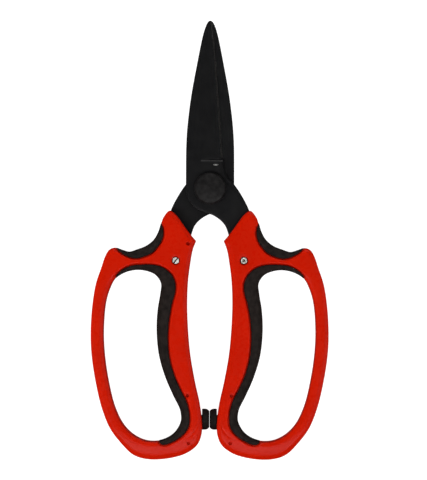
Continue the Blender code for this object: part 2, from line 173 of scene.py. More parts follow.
def unit(vectors):
    return vectors / np.maximum(np.linalg.norm(vectors, axis=-1, keepdims=True), 1e-12)


def smooth(points, steps, closed=False):
    """A smooth curve through the points, with that many steps from each point to the next."""
    given = np.array(points, float)
    if closed:
        row = np.vstack((given[-1:], given, given[:2]))
    else:
        row = np.vstack((2 * given[:1] - given[1:2], given, 2 * given[-1:] - given[-2:-1]))
    spans = np.linalg.norm(np.diff(row, axis=0), axis=1) ** 0.5
    slopes = np.diff(row, axis=0) / spans[:, None]
    curve = []
    for i in range(1, len(row) - 2):
        before, here, after = spans[i - 1:i + 2]
        leave = (slopes[i - 1] * here + slopes[i] * before) / (before + here) * here
        arrive = (slopes[i] * after + slopes[i + 1] * here) / (here + after) * here
        for step in range(steps):
            t = step / steps
            rise = t * t * (3 - 2 * t)
            curve.append(
                row[i] * (1 - rise) + row[i + 1] * rise + leave * t * (1 - t) ** 2 - arrive * t * t * (1 - t)
            )
    return np.array(curve if closed else [*curve, given[-1]])


def arc(centre, radius, start, end, count):
    """Points on a circle between two angles in degrees, both ends included."""
    angles = np.radians(np.linspace(start, end, count))
    return np.array(centre) + radius * np.column_stack((np.cos(angles), np.sin(angles)))


def circle(centre, radius, count=32):
    return arc(centre, radius, 0, 360, count + 1)[:-1]


def offset(loop, distance):
    """A loop moved to the left of its direction, which is inwards on an anticlockwise one."""
    arriving = unit(loop - np.roll(loop, 1, 0))
    leaving = unit(np.roll(loop, -1, 0) - loop)
    along = unit(arriving + leaving)
    stretch = distance / np.maximum(0.5, (along * leaving).sum(1))
    return loop + np.column_stack((-along[:, 1], along[:, 0])) * stretch[:, None]


def distance(points, loop, closed=True):
    """From each point to the nearest place on the loop, or on the curve."""
    best = np.full(len(points), 1e9)
    ends = np.roll(loop, -1, 0) if closed else loop[1:]
    for a, b in zip(loop, ends):
        run = b - a
        share = np.clip((points - a) @ run / max(run @ run, 1e-12), 0, 1)
        best = np.minimum(best, np.linalg.norm(points - a - share[:, None] * run, axis=1))
    return best


def inside(points, loop):
    """Which points lie inside the loop."""
    odd = np.zeros(len(points), bool)
    x, y = points.T
    for a, b in zip(loop, np.roll(loop, -1, 0)):
        if a[1] != b[1]:
            spans = (a[1] > y) != (b[1] > y)
            odd ^= spans & (x < a[0] + (b[0] - a[0]) * (y - a[1]) / (b[1] - a[1]))
    return odd


def grid(loop, spacing):
    """Staggered points all over the loop's box."""
    low, high = loop.min(0), loop.max(0)
    rows = np.arange(low[1], high[1], spacing * math.sqrt(0.75))
    columns = np.arange(low[0], high[0], spacing)
    return np.array([(x + spacing / 2 * (k % 2), y) for k, y in enumerate(rows) for x in columns])


def round_off(away, radius):
    """How far a rounded edge lies below its face, at this distance from the edge."""
    near = np.clip(1 - away / radius, 0, 1)
    return radius * (1 - np.sqrt(1 - near * near))


def edge_drop(away):
    """How far the handles' broad rounding lies below their faces, at this distance from the outline."""
    near = np.clip(1 - away / EDGE_REACH, 0, 1)
    return EDGE_DROP * (1 - (1 - near ** EDGE_POWER) ** (1 / EDGE_POWER))


def bow_fall(points):
    """How far the handles' faces fall away towards the end of the bows."""
    return BOW_CURVE * np.clip(BOW_START - points[:, 1], 0, None) ** 2


def relax(heights, flat, triangles, free, rounds):
    """Evens out the heights of the free points with their neighbours', away from the triangles' border."""
    ends, pull = [], []
    for k in range(3):
        here, a, b = triangles[:, k], triangles[:, k - 2], triangles[:, k - 1]
        u, v = flat[a] - flat[here], flat[b] - flat[here]
        ends += [np.column_stack((a, b)), np.column_stack((b, a))]
        pull += [np.clip((u * v).sum(1) / (u[:, 0] * v[:, 1] - u[:, 1] * v[:, 0]), 0.05, 20)] * 2
    ends, pull = np.vstack(ends), np.concatenate(pull)
    sides, used = np.unique(np.sort(ends, axis=1), axis=0, return_counts=True)
    free = free & (np.bincount(ends[:, 0], minlength=len(flat)) > 0)
    free[sides[used == 2]] = False
    total = np.bincount(ends[:, 0], pull, len(flat))
    for _ in range(rounds):
        mean = np.bincount(ends[:, 0], pull * heights[ends[:, 1]], len(flat))
        heights = np.where(free, mean / np.where(free, total, 1), heights)
    return heights


# Meshes.


def relief(name, loops, points, levels_at, solids_at, paint_at=None):
    """A closed mesh drawn over a flat layout, which keeps every loop's edges.

    levels_at(points, triangles) gives the height of each named level at every point, from the triangles that
    are solid. solids_at(centres) gives for each triangle the (lower level, upper level) pairs between which
    it is solid. paint_at(centres) gives the material index of its upper faces. Where neighbours differ, a
    wall joins their levels.
    """
    corners = np.vstack((*loops, points))
    edges = []
    first = 0
    for loop in loops:
        edges += [(first + i, first + (i + 1) % len(loop)) for i in range(len(loop))]
        first += len(loop)
    found = delaunay_2d_cdt([Vector(c) for c in corners], edges, [], 0, 1e-3, False)
    flat = np.array([tuple(v) for v in found[0]])
    triangles = np.array([tuple(f) for f in found[2]])
    centres = flat[triangles].mean(1)
    solids = solids_at(centres)
    paints = paint_at(centres) if paint_at else np.zeros(len(centres), int)
    filled = np.array([len(pairs) > 0 for pairs in solids])
    levels = {k: np.round(v, 4) for k, v in levels_at(flat, triangles[filled]).items()}
    bm = bmesh.new()
    columns = [{} for _ in flat]

    def corner(i, level):
        height = levels[level][i]
        if height not in columns[i]:
            columns[i][height] = bm.verts.new((*flat[i], height))
        return columns[i][height]

    def column(i, low, high):
        return [columns[i][z] for z in sorted(columns[i]) if levels[low][i] <= z <= levels[high][i]]

    sides = {}
    for triangle, filled, paint in zip(triangles.tolist(), solids, paints.tolist()):
        for k in range(3):
            side = tuple(sorted((triangle[k - 1], triangle[k])))
            sides.setdefault(side, []).append(filled)
        for low, high in filled:
            bm.faces.new([corner(i, low) for i in triangle[::-1]])
            bm.faces.new([corner(i, high) for i in triangle]).material_index = paint
    for (p, q), filled in sides.items():
        filled = (*filled, ())[:2]
        if filled[0] == filled[1]:
            continue
        named = {level for pairs in filled for pair in pairs for level in pair}
        order = sorted(named, key=lambda level: levels[level][p] + levels[level][q])
        rank = {level: i for i, level in enumerate(order)}
        for low, high in zip(order, order[1:]):
            within = [
                any(rank[a] <= rank[low] and rank[high] <= rank[b] for a, b in pairs) for pairs in filled
            ]
            wall = column(p, low, high) + column(q, low, high)[::-1]
            if within[0] != within[1] and len(wall) > 2:
                bm.faces.new(wall)
    return mesh_of(bm, name)


def turned(name, profile, sides=64):
    """The mesh of a closed profile of (radius, height) points turned round the Z axis."""
    bm = bmesh.new()
    rings = []
    for i in range(sides):
        angle = 2 * math.pi * i / sides
        rings.append([bm.verts.new((r * math.cos(angle), r * math.sin(angle), z)) for r, z in profile])
    for i in range(sides):
        for k in range(len(profile)):
            if max(profile[k - 1][0], profile[k][0]) > 0:
                bm.faces.new((rings[i - 1][k - 1], rings[i][k - 1], rings[i][k], rings[i - 1][k]))
    bmesh.ops.remove_doubles(bm, verts=bm.verts, dist=1e-5)
    return mesh_of(bm, name)


def mesh_of(bm, name):
    bmesh.ops.recalc_face_normals(bm, faces=bm.faces)
    mesh = bpy.data.meshes.new(name)
    bm.to_mesh(mesh)
    bm.free()
    return mesh


def place(mesh, half, node, slot, materials, sharp=38):
    """The finished piece that stands for a CAD node, put where the node is and riding on its half."""
    turn = Matrix.Rotation(math.pi, 4, "Y") if half == "left" else Matrix.Identity(4)
    mesh.transform(Matrix.Translation((0, 0, MEETING * MM)) @ turn @ Matrix.Scale(MM, 4))
    for material in materials:
        mesh.materials.append(material)
    mesh.shade_smooth()
    mesh.set_sharp_from_angle(angle=math.radians(sharp))
    piece = bpy.data.objects.new(node + "_finished", mesh)
    bpy.context.scene.collection.objects.link(piece)
    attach(piece, half + "_half")
    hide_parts(node)
    return piece


def carve(mesh, cutter):
    """Cuts one mesh out of another, and gives the result."""
    pair = [bpy.data.objects.new(m.name + "_carving", m) for m in (mesh, cutter)]
    for item in pair:
        bpy.context.scene.collection.objects.link(item)
    modifier = pair[0].modifiers.new("cut", "BOOLEAN")
    modifier.operation = "DIFFERENCE"
    modifier.object = pair[1]
    result = bpy.data.meshes.new_from_object(pair[0].evaluated_get(bpy.context.evaluated_depsgraph_get()))
    result.name = mesh.name
    for item in pair:
        bpy.data.objects.remove(item, do_unlink=True)
    return result


def box(name, low, high):
    bm = bmesh.new()
    bmesh.ops.create_cube(bm, size=1.0)
    for vertex in bm.verts:
        vertex.co = Vector([b if c > 0 else a for a, b, c in zip(low, high, vertex.co)])
    return mesh_of(bm, name)


# The handles.

OUTER = smooth(HANDLE_OUTER, 8)[:-1]
HOLE = smooth(FINGER_HOLE, 8, closed=True)
ROUNDING_ROWS = [
    EDGE_REACH * (1 - math.cos(math.radians(a)) ** (2 / EDGE_POWER)) for a in (8, 16, 26, 36, 47, 58, 69)
]
GRIP_EDGES = {"inner": smooth(INNER_GRIP_EDGE, 6), "thumb": smooth(THUMB_GRIP_EDGE, 6)}
GRIP_BEYOND = {"inner": INNER_GRIP_INSIDE, "thumb": THUMB_GRIP_OUTSIDE}


def grip_region(kind, grow):
    """The loop that a grip fills, grown by the given distance. It starts with the edge on the shells."""
    return offset(np.vstack((GRIP_EDGES[kind], GRIP_BEYOND[kind])), -grow)


def in_handle(points, inset=0.0):
    return inside(points, offset(OUTER, inset)) & ~inside(points, offset(HOLE, -inset))


def from_outline(points, proud=0.0):
    """Distances from the handle's outer outline and from its finger hole, both moved out by proud."""
    return distance(points, offset(OUTER, -proud)), distance(points, offset(HOLE, proud))


def handle_points(rows, spacing, lines):
    """A handle's layout points: rows along its outline and a grid, clear of the lines that have their own."""
    outline = [offset(loop, side * inset) for loop, side in ((OUTER, 1), (HOLE, -1)) for inset in rows]
    outline = np.vstack(outline)
    insets = np.repeat(np.tile(rows, 2), [len(OUTER)] * len(rows) + [len(HOLE)] * len(rows))
    away = np.minimum(*from_outline(outline))
    outline = outline[(away > 0.9 * insets) & in_handle(outline)]
    middle = grid(OUTER, spacing)
    middle = middle[in_handle(middle)]
    middle = middle[np.minimum(*from_outline(middle)) > max(rows) + 0.4 * spacing]
    kept = []
    for points, room in ((outline, 0.25), (middle, 0.45 * spacing)):
        clear = np.min([distance(points, line, closed) for line, closed in lines], axis=0)
        kept.append(points[clear > room])
    return np.vstack(kept)


def shell_mesh(name, with_bed):
    """One shell of a handle, from the parting plane up: a rounded skin, stepped down under the grips."""
    regions = [grip_region(kind, GROOVE / 2) for kind in GRIP_EDGES]
    edges = [offset(region, -0.02)[:len(edge)] for region, edge in zip(regions, GRIP_EDGES.values())]
    wrapped = [grip_region(kind, FIT - GROOVE / 2) for kind in GRIP_EDGES]
    core = [offset(OUTER, LAND_INSET), offset(HOLE, -LAND_INSET)]
    centre = (SCREW_X, SCREW_Y)
    bore = circle(centre, BARREL_RADIUS + FIT)
    ledge = circle(centre, CROSS_HEAD_RADIUS + HEAD_RING)
    pits = [circle(p, PIT_RADIUS, 20) for p in (SHARED_PITS if with_bed else [*SHARED_PITS, BACK_PIT])]
    tang = smooth(TANG_AND_BACK, 6)
    bed = offset(tang[tang[:, 1] < -2.0], -GAP / 2)
    stem_end = BUMPER[1].x + GAP
    stem_reach = STEM_RADIUS + GAP
    across = BUMPER_Y + stem_reach * np.cos(np.radians(np.linspace(0, 180, 13)))
    along = np.arange(1.3, stem_end, 0.3)
    socket = np.array([
        *((stem_end, y) for y in across[::-1]), *((x, across[0]) for x in along[::-1]),
        *((1.0, y) for y in across), *((x, across[-1]) for x in along),
    ])
    crease = smooth(HEEL_CREASE, 6)
    loops = [OUTER, HOLE, *regions, *wrapped, *core, bore, ledge, *pits, socket]
    if with_bed:
        loops.append(bed)
    rims = [(ledge, 0.16), *((pit, 0.14) for pit in pits)]
    rim_rows = [offset(rim, -share * radius) for rim, radius in rims for share in (0.35, 1.0)]
    groove_rows = [offset(region, -reach) for region in regions for reach in (0.04, 0.13, 0.28, 0.48, 0.75)]
    crease_rows = [crease + CREASE_REACH * np.array((dx, 0.3 * dx)) for dx in (-1.0, -0.5, 0.0, 0.5, 1.0)]
    lines = [(line, True) for line in (*regions, *wrapped, *(rim for rim, _ in rims))] + [(crease, False)]
    stem_rows = np.array([(x, y) for x in np.arange(2.5, stem_end, 0.5) for y in across])
    fine = np.vstack((*rim_rows, *groove_rows, *crease_rows))
    fine = fine[in_handle(fine) & (np.minimum(*from_outline(fine)) > 0.02)]
    points = np.vstack((handle_points([*ROUNDING_ROWS, 1.7, 2.4, 3.3], 1.7, lines), fine, stem_rows))

    def levels_at(flat, triangles):
        from_outer, from_hole = from_outline(flat)
        away = np.minimum(from_outer, from_hole)
        skin = FACE_TOP - edge_drop(from_outer) - edge_drop(from_hole) - bow_fall(flat)
        skin = relax(skin, flat, triangles, away > 0.5, 12)
        for edge in edges:
            skin = skin - round_off(distance(flat, edge, False), GROOVE_EASE)
        for rim, radius in rims:
            skin = skin - round_off(distance(flat, rim), radius)
        from_ends = crease[0, 1] - flat[:, 1], flat[:, 1] - crease[-1, 1]
        crease_share = np.clip(from_ends[0] / 2, 0, 1) * np.clip(from_ends[1] / 3, 0, 1)
        across_crease = np.clip(1 - distance(flat, crease, False) / CREASE_REACH, 0, 1)
        skin = skin - CREASE_DEPTH * crease_share * across_crease
        floor = BLADE_LOW + np.clip(0.15 - away, 0, 0.15)
        arch = np.sqrt(np.maximum(stem_reach ** 2 - (flat[:, 1] - BUMPER_Y) ** 2, 0))
        flat_level = np.ones(len(flat))
        return {
            "floor": floor,
            "stem": np.maximum(floor, arch),
            "bed": flat_level * (BLADE_TOP + GAP / 2),
            "pit": flat_level * (FACE_TOP - PIT_DEPTH),
            "ledge": flat_level * (HALF_THICKNESS - HEAD_POCKET),
            "land": flat_level * (HALF_THICKNESS - LAND_INSET),
            "groove": np.minimum(HALF_THICKNESS - LAND_INSET, skin - 0.7),
            "skin": skin,
        }

    def solids_at(centres):
        under_grip = np.any([inside(centres, region) for region in regions], axis=0)
        under_wrap = np.any([inside(centres, region) for region in wrapped], axis=0)
        high = np.where(under_wrap, "land", np.where(under_grip, "groove", "skin")).astype(object)
        high[np.any([inside(centres, pit) for pit in pits], axis=0)] = "pit"
        high[inside(centres, ledge)] = "ledge"
        low = np.full(len(centres), "floor", object)
        low[inside(centres, socket)] = "stem"
        if with_bed:
            low[inside(centres, bed)] = "bed"
        solid = in_handle(centres) & ~inside(centres, bore) & (~under_wrap | in_handle(centres, LAND_INSET))
        return [((a, b),) if s else () for a, b, s in zip(low, high, solid)]

    return relief(name, loops, points, levels_at, solids_at)


def grip_mesh(name, kind):
    """A soft grip, both faces and the side between them, hollowed where it wraps the shells."""
    region = grip_region(kind, -GROOVE / 2)
    edge = region[:len(GRIP_EDGES[kind])]
    outline = [offset(OUTER, -GRIP_PROUD), offset(HOLE, GRIP_PROUD)]
    core = [offset(OUTER, GRIP_SKIN), offset(HOLE, -GRIP_SKIN)]
    near = OUTER if kind == "thumb" else HOLE
    side = 1 if kind == "thumb" else -1
    rows = [offset(near, side * (inset - GRIP_PROUD)) for inset in (*ROUNDING_ROWS, 1.7, 2.4, 3.2)]
    rows += [offset(region, reach) for reach in (0.06, 0.16, 0.35, 0.7, 1.1)]
    rows = np.vstack(rows)
    middle = grid(region, 1.3)
    for_grid = np.minimum(*from_outline(middle, GRIP_PROUD)) > 3.9
    middle = middle[for_grid & (distance(middle, region) > 1.5)]
    points = np.vstack((rows, middle))
    points = points[inside(points, offset(region, 0.03))]
    clear = np.minimum(*from_outline(points, GRIP_PROUD)) > 0.05
    points = points[clear & inside(points, outline[0]) & ~inside(points, outline[1])]

    def levels_at(flat, triangles):
        from_outer, from_hole = from_outline(flat, GRIP_PROUD)
        top = HALF_THICKNESS - edge_drop(from_outer) - edge_drop(from_hole) - bow_fall(flat)
        top = relax(top, flat, triangles, np.minimum(from_outer, from_hole) > 0.5, 12)
        away = distance(flat, edge, False)
        near_edge = np.clip(1 - away / 1.6, 0, 1)
        top = top - 0.3 * near_edge ** 2 - round_off(away, 0.4)
        inner = np.full(len(flat), HALF_THICKNESS - GRIP_SKIN)
        over_core = np.minimum(from_outer, from_hole) > GRIP_SKIN + GRIP_PROUD - 0.05
        top = np.where(over_core, np.maximum(top, inner + 0.15), top)
        return {"bottom": -top, "inner_bottom": -inner, "inner_top": inner, "top": top}

    def solids_at(centres):
        solid = inside(centres, region) & inside(centres, outline[0]) & ~inside(centres, outline[1])
        over_core = inside(centres, core[0]) & ~inside(centres, core[1])
        lips = (("bottom", "inner_bottom"), ("inner_top", "top"))
        return [(lips if c else (("bottom", "top"),)) if s else () for s, c in zip(solid, over_core)]

    return relief(name, [*outline, *core, region], points, levels_at, solids_at)


# The blades.


def along_blade(curve, y):
    """The x of a curve that climbs along Y, at each y."""
    curve = smooth(curve, 8)
    return np.interp(y, curve[:, 1], curve[:, 0])


def crest_of(y):
    """The x of the ridge between the hollow and the bevel, which runs out along the spine."""
    return np.maximum(along_blade(RIDGE, y), along_blade(SPINE, y) + 0.35)


def blade_outline():
    """The whole blade: the flat round the pivot, the tang, the cutting edge, the tip and the spine."""
    flat_side = arc((0, 0), PIVOT_FLAT_RADIUS, 175, 250, 30)
    climb = np.linspace(STEP_Y + 0.05, 74.6, 70)
    cutting = np.column_stack((along_blade(CUTTING_EDGE, climb), climb))
    spine = np.column_stack((along_blade(SPINE, climb), climb))[::-1]
    ricasso = [(-PIVOT_FLAT_RADIUS, y) for y in np.arange(STEP_Y - 0.4, 1.4, -0.8)]
    corner = [(6.1, 11.0), (6.15, 11.8)]
    tip = smooth(BLADE_TIP, 4)
    return np.vstack((ricasso, flat_side, smooth(TANG_AND_BACK, 6), corner, cutting, tip, spine))


def blade_mesh(name, square_hole):
    """A blade: hollow-ground face, curved bevel along the spine, honed edge, and the flat with its tang."""
    outline = blade_outline()
    reach = SQUARE_NECK / 2 + GAP
    corners = np.array([(-reach, -reach), (reach, -reach), (reach, reach), (-reach, reach)])
    pivot_hole = corners if square_hole else circle((0, 0), SHANK_RADIUS + 0.08, 40)
    screw_hole = circle((SCREW_X, SCREW_Y), BARREL_RADIUS + FIT, 32)
    climb = np.linspace(STEP_Y + 1.1, TIP_Y - 0.3, 75)
    honed = np.column_stack((along_blade(CUTTING_EDGE, climb) - HONED_WIDTH, climb))
    strip = np.vstack((honed + (HONED_WIDTH + 0.6, 0), honed[::-1]))
    bevelled = along_blade(RIDGE, climb) > along_blade(SPINE, climb) + 0.7
    ridge = np.column_stack((crest_of(climb), climb))[bevelled]
    rises = (-0.45, -0.2, 0.1, 0.3, 0.5, 0.8, 1.2)
    rungs = np.array([(x, STEP_Y + rise) for rise in rises for x in np.arange(-10.5, 6.1, 0.45)])
    scoop = [DIMPLE + share * DIMPLE_HALF * circle((0, 0), 1, 24) for share in (0.3, 0.8, 1.0, 1.2)]
    # glint is a lens of bright steel in the dimple: a painted highlight.
    glint = DIMPLE + (0, -0.2) + DIMPLE_HALF * (0.8, 0.5) * circle((0, 0), 1, 24)
    rows = [offset(outline, inset) for inset in (0.1, 0.25, 0.45, 1.25)]
    middle = grid(outline, 1.1)
    clear = np.linalg.norm((middle - DIMPLE) / DIMPLE_HALF, axis=1) > 1.5
    for line, closed, room in ((outline, True, 1.7), (honed, False, 0.45), (ridge, False, 0.4)):
        clear = clear & (distance(middle, line, closed) > room)
    middle = middle[clear & (abs(middle[:, 1] - STEP_Y - 0.4) > 1.2)]
    points = np.vstack((honed + (0.4, 0), honed - (0.3, 0), ridge, rungs, *scoop, *rows, middle))
    points = points[inside(points, offset(outline, 0.06))]

    def ground(flat):
        """The height of the ground face and of the bevel outside the ridge."""
        x, y = flat.T
        left, right = along_blade(SPINE, y), along_blade(CUTTING_EDGE, y)
        crest = crest_of(y)
        share = np.clip((y - STEP_Y) / (TIP_Y - STEP_Y), 0, 1)
        crest_height = BLADE_LOW + (BLADE_TOP - BLADE_LOW) * (0.88 - 0.46 * share)
        honed_width = np.minimum(HONED_WIDTH, 0.4 * (right - crest))
        honed_height = BLADE_LOW + EDGE_LAND + HONED_SLOPE * honed_width
        across = np.clip((right - honed_width - x) / np.maximum(right - honed_width - crest, 0.1), 0, 1)
        hollow = honed_height + (crest_height - honed_height) * across ** 1.15
        on_edge = BLADE_LOW + EDGE_LAND + HONED_SLOPE * np.clip(right - x, 0, None)
        spine_drop = (1 - SPINE_SHARE) * (crest_height - BLADE_LOW) * np.clip(crest - left - 0.4, 0, 1)
        out = np.clip((crest - x) / np.maximum(crest - left, 0.2), 0, 1)
        bevel = crest_height - spine_drop * out ** 1.5
        return np.where(x < crest, bevel, np.where(x > right - honed_width, on_edge, hollow))

    def levels_at(flat, triangles):
        x, y = flat.T
        away = distance(flat, outline)
        step = np.clip((y - STEP_Y - 0.3) / 0.9, 0, 1)
        cut = 1 - np.sqrt(1 - (1 - step) ** 2)
        fade = np.clip((y - STEP_Y) / 7, 0, 1)
        fade = 1 - fade * fade * (3 - 2 * fade)
        share = np.clip((x + 4.6) / 0.8, 0, 1)
        eased = BLADE_TOP - 0.5 * np.clip(y - STEP_Y + 0.45, 0, 0.75) * share
        blend = cut * share + fade * (1 - share)
        top = ground(flat) * (1 - blend) + eased * blend
        from_dimple = np.linalg.norm((flat - DIMPLE) / DIMPLE_HALF, axis=1)
        top = top - DIMPLE_DEPTH * np.clip(1 - from_dimple ** 2, 0, 1) ** 2
        cutting = np.clip((x - along_blade(CUTTING_EDGE, y) + 2.5) / 1.5, 0, 1) * (y > STEP_Y)
        back = np.clip((x - 3) / 2, 0, 1) * np.clip((y + 8) / 4, 0, 1) * (y < STEP_Y - 0.3)
        top = top - round_off(away, 0.45) * (1 - cutting) - 0.4 * back * np.clip(1.25 - away, 0, 1.25)
        dish = np.clip((away - 1.0) / 2.5, 0, 1) * np.clip((y - 15) / 6, 0, 1)
        floor = BLADE_LOW + 0.25 * dish * dish * (3 - 2 * dish)
        return {"floor": floor, "top": np.maximum(top, floor + 0.08)}

    def solids_at(centres):
        solid = inside(centres, outline) & ~inside(centres, pivot_hole) & ~inside(centres, screw_hole)
        return [(("floor", "top"),) if s else () for s in solid]

    def paint_at(centres):
        x, y = centres.T
        # The honed strip is bare steel; the glint patch takes the same steel as a painted highlight.
        bare_steel_and_painted_glint = inside(centres, strip) | inside(centres, glint)
        # A thin band along the milled step takes the lighter coating: a painted highlight line.
        step_highlight = (abs(y - STEP_Y + 0.05) < 0.15) & (x > -4.2)
        return np.where(bare_steel_and_painted_glint, 1, np.where(step_highlight, 2, 0))

    loops = [outline, pivot_hole, screw_hole, glint, strip]
    return relief(name, loops, points, levels_at, solids_at, paint_at)


# The pivot, the fasteners and the bumpers.


def rounded(corner_in, corner, corner_out, radius, steps=5):
    """Points that round the corner of a profile, between the points before and after it."""
    corner = np.array(corner, float)
    start = corner + unit(np.array(corner_in, float) - corner) * radius
    end = corner + unit(np.array(corner_out, float) - corner) * radius
    shares = np.linspace(0, 1, steps + 1)[:, None]
    return ((1 - shares) ** 2 * start + 2 * shares * (1 - shares) * corner + shares ** 2 * end).tolist()


def pivot_bolt_mesh(name):
    top = BOLT[1].z - MEETING
    under = HEAD_WASHER[1].z - MEETING + 0.1
    crown = HEAD_RADIUS - 1.0
    dome = [(crown * share, top - 0.5 * share ** 2) for share in (1, 0.85, 0.7, 0.5, 0.3, 0.12)]
    edge = rounded((HEAD_RADIUS, under), (HEAD_RADIUS, top - 0.8), dome[0], 0.85, 8)
    low = -HALF_THICKNESS
    neck = SQUARE_NECK / 2
    shank = [(0, low), (SHANK_RADIUS - 0.4, low), (SHANK_RADIUS, low + 0.4), (SHANK_RADIUS, BLADE_LOW)]
    profile = [
        *shank, (neck, BLADE_LOW + 0.1), (neck, under), (HEAD_RADIUS - 0.35, under),
        *rounded((HEAD_RADIUS - 2, under), (HEAD_RADIUS, under), (HEAD_RADIUS, top), 0.25),
        *edge, *dome, (0, top),
    ]
    return turned(name, profile, 96)


def washer_mesh(name, inner, outer, low, high, dish=0.0):
    """A flat or dished washer with broken edges."""
    ease = 0.08
    profile = [
        (inner + ease, low), (outer - ease, low - dish), (outer, low - dish + ease),
        (outer, high - dish - ease), (outer - ease, high - dish), (inner + ease, high),
        (inner, high - ease), (inner, low + ease),
    ]
    return turned(name, profile, 72)


def nut_mesh(name):
    """A hexagon nut whose corners are turned down to a chamfer on both faces."""
    low, high = NUT[0].z - MEETING, NUT[1].z - MEETING
    across = (NUT[1].x - NUT[0].x) / 2
    profile = [
        (SHANK_RADIUS + GAP + 0.25, low), (across * 0.9, low), (across * 1.02, low + 0.55),
        (across * 1.02, high - 0.55), (across * 0.9, high), (SHANK_RADIUS + GAP + 0.25, high),
        (SHANK_RADIUS + GAP, high - 0.3), (SHANK_RADIUS + GAP, low + 0.3),
    ]
    nut = turned(name, profile, 96)
    flats = math.sqrt(0.75) * across
    for k in range(6):
        cutter = box(name + "_flat", (flats, -across, low - 1), (flats + 3, across, high + 1))
        cutter.transform(Matrix.Rotation(math.radians(30 + 60 * k), 4, "Z"))
        nut = carve(nut, cutter)
    return nut


def at_screw(mesh):
    mesh.transform(Matrix.Translation((SCREW_X, SCREW_Y, 0)))
    return mesh


def barrel_nut_mesh(name):
    foot, head = BARREL[0].z - MEETING, BARREL[1].z - MEETING
    bore = 0.7
    profile = [
        (bore + 0.1, foot), (BARREL_RADIUS - 0.15, foot), (BARREL_RADIUS, foot + 0.15),
        (BARREL_RADIUS, head - 0.8), (CROSS_HEAD_RADIUS, head - 0.8),
        *rounded((CROSS_HEAD_RADIUS, head - 0.8), (CROSS_HEAD_RADIUS, head), (bore, head), 0.3),
        (BRIGHT_RADIUS, head),
        *rounded((CROSS_HEAD_RADIUS, head), (bore, head), (bore, foot), 0.22), (bore, foot + 0.1),
    ]
    mesh = turned(name, profile, 48)
    # Faces outside the bright disc take the black finish: painted shade for the dark ring round the head.
    for face in mesh.polygons:
        if face.center.xy.length > BRIGHT_RADIUS:
            face.material_index = 1
    return at_screw(mesh)


def handle_screw_mesh(name):
    """The slotted screw, with its head down and its shank reaching up into the barrel nut."""
    head, end = SCREW[0].z - MEETING, SCREW[1].z - MEETING
    shank = 0.6
    profile = [
        (0, head), (CROSS_HEAD_RADIUS * 0.5, head + 0.02), (BRIGHT_RADIUS, head + 0.05),
        *rounded((0, head), (CROSS_HEAD_RADIUS, head + 0.06), (CROSS_HEAD_RADIUS, head + 0.8), 0.25),
        (CROSS_HEAD_RADIUS, head + 0.8), (shank, head + 0.8),
        (shank, end - 0.3), (shank - 0.3, end), (0, end),
    ]
    slot = box(name + "_slot", (-3, -0.27, head - 1), (3, 0.27, head + 0.7))
    slot.transform(Matrix.Rotation(math.radians(127), 4, "Z"))
    mesh = carve(turned(name, profile, 48), slot)
    # The slot and the faces outside the bright disc take the black finish: painted shade in the slot and
    # round the head.
    for face in mesh.polygons:
        in_slot = head + 0.1 < face.center.z < head + 0.75
        if in_slot or face.center.xy.length > BRIGHT_RADIUS:
            face.material_index = 1
    return at_screw(mesh)


def bumper_mesh(name):
    """A rubber stop button: a domed shoulder, a small flat that meets the other, and its stem."""
    face, end = BUMPER[0].x - 0.08, BUMPER[1].x
    back = face + 3.3
    angles = np.radians(range(0, 91, 10))
    dome = [(BUMPER_RADIUS - 1.5 * (1 - math.sin(a)), face + 2.1 * (1 - math.cos(a))) for a in angles]
    profile = [
        (0, face), *dome, (BUMPER_RADIUS, back - 0.25), (BUMPER_RADIUS - 0.2, back), (STEM_RADIUS, back),
        (STEM_RADIUS, end - 0.3), (STEM_RADIUS - 0.3, end), (0, end),
    ]
    mesh = turned(name, profile, 64)
    mesh.transform(Matrix.Translation((0, BUMPER_Y, 0)) @ Matrix.Rotation(math.pi / 2, 4, "Y"))
    return mesh


# Materials.


class Finish:
    """A material that is built node by node. Constant sockets are set on the shader itself."""

    def __init__(self, name, **sockets):
        self.material = bpy.data.materials.new(name)
        self.material.use_nodes = True
        self.tree = self.material.node_tree
        self.shader = self.tree.nodes["Principled BSDF"]
        for socket, value in sockets.items():
            self.shader.inputs[socket.replace("_", " ")].default_value = value

    def node(self, kind, *links, **values):
        """A node with its values set by socket name, and its first sockets linked in order."""
        made = self.tree.nodes.new(kind)
        for name, value in values.items():
            if name in made.bl_rna.properties:
                setattr(made, name, value)
            else:
                self.join(value, made.inputs[name.replace("_", " ")])
        for link, socket in zip(links, made.inputs):
            self.join(link, socket)
        return made.outputs[0]

    def join(self, value, socket):
        if isinstance(value, bpy.types.NodeSocket):
            self.tree.links.new(value, socket)
        else:
            socket.default_value = value

    def place(self, stretch=(1, 1, 1)):
        """The surface's place in the object, in metres, stretched for a grain."""
        place = self.tree.nodes.new("ShaderNodeTexCoord").outputs["Object"]
        return self.node("ShaderNodeMapping", place, Scale=stretch)

    def noise(self, scale, detail=3.0, stretch=(1, 1, 1)):
        return self.node("ShaderNodeTexNoise", Vector=self.place(stretch), Scale=scale, Detail=detail)

    def ramp(self, value, low, high, start=0.3, end=0.7):
        """A colour or a number that runs from low to high as the value goes from start to end."""
        if isinstance(low, tuple):
            share = self.node("ShaderNodeMapRange", Value=value, From_Min=start, From_Max=end)
            mix = self.tree.nodes.new("ShaderNodeMix")
            mix.data_type = "RGBA"
            self.join(share, mix.inputs[0])
            self.join((*low, 1.0), mix.inputs[6])
            self.join((*high, 1.0), mix.inputs[7])
            return mix.outputs[2]
        return self.node(
            "ShaderNodeMapRange", Value=value, From_Min=start, From_Max=end, To_Min=low, To_Max=high
        )

    def colour(self, source):
        self.join(source, self.shader.inputs["Base Color"])

    def roughness(self, source):
        self.join(source, self.shader.inputs["Roughness"])

    def bump(self, height, depth, strength=1.0, under=None):
        """Adds surface relief of the given depth, in metres."""
        made = self.tree.nodes.new("ShaderNodeBump")
        self.join(strength, made.inputs["Strength"])
        self.join(depth, made.inputs["Distance"])
        self.join(height, made.inputs["Height"])
        if under:
            self.join(under, made.inputs["Normal"])
        self.join(made.outputs[0], self.shader.inputs["Normal"])
        return made.outputs[0]


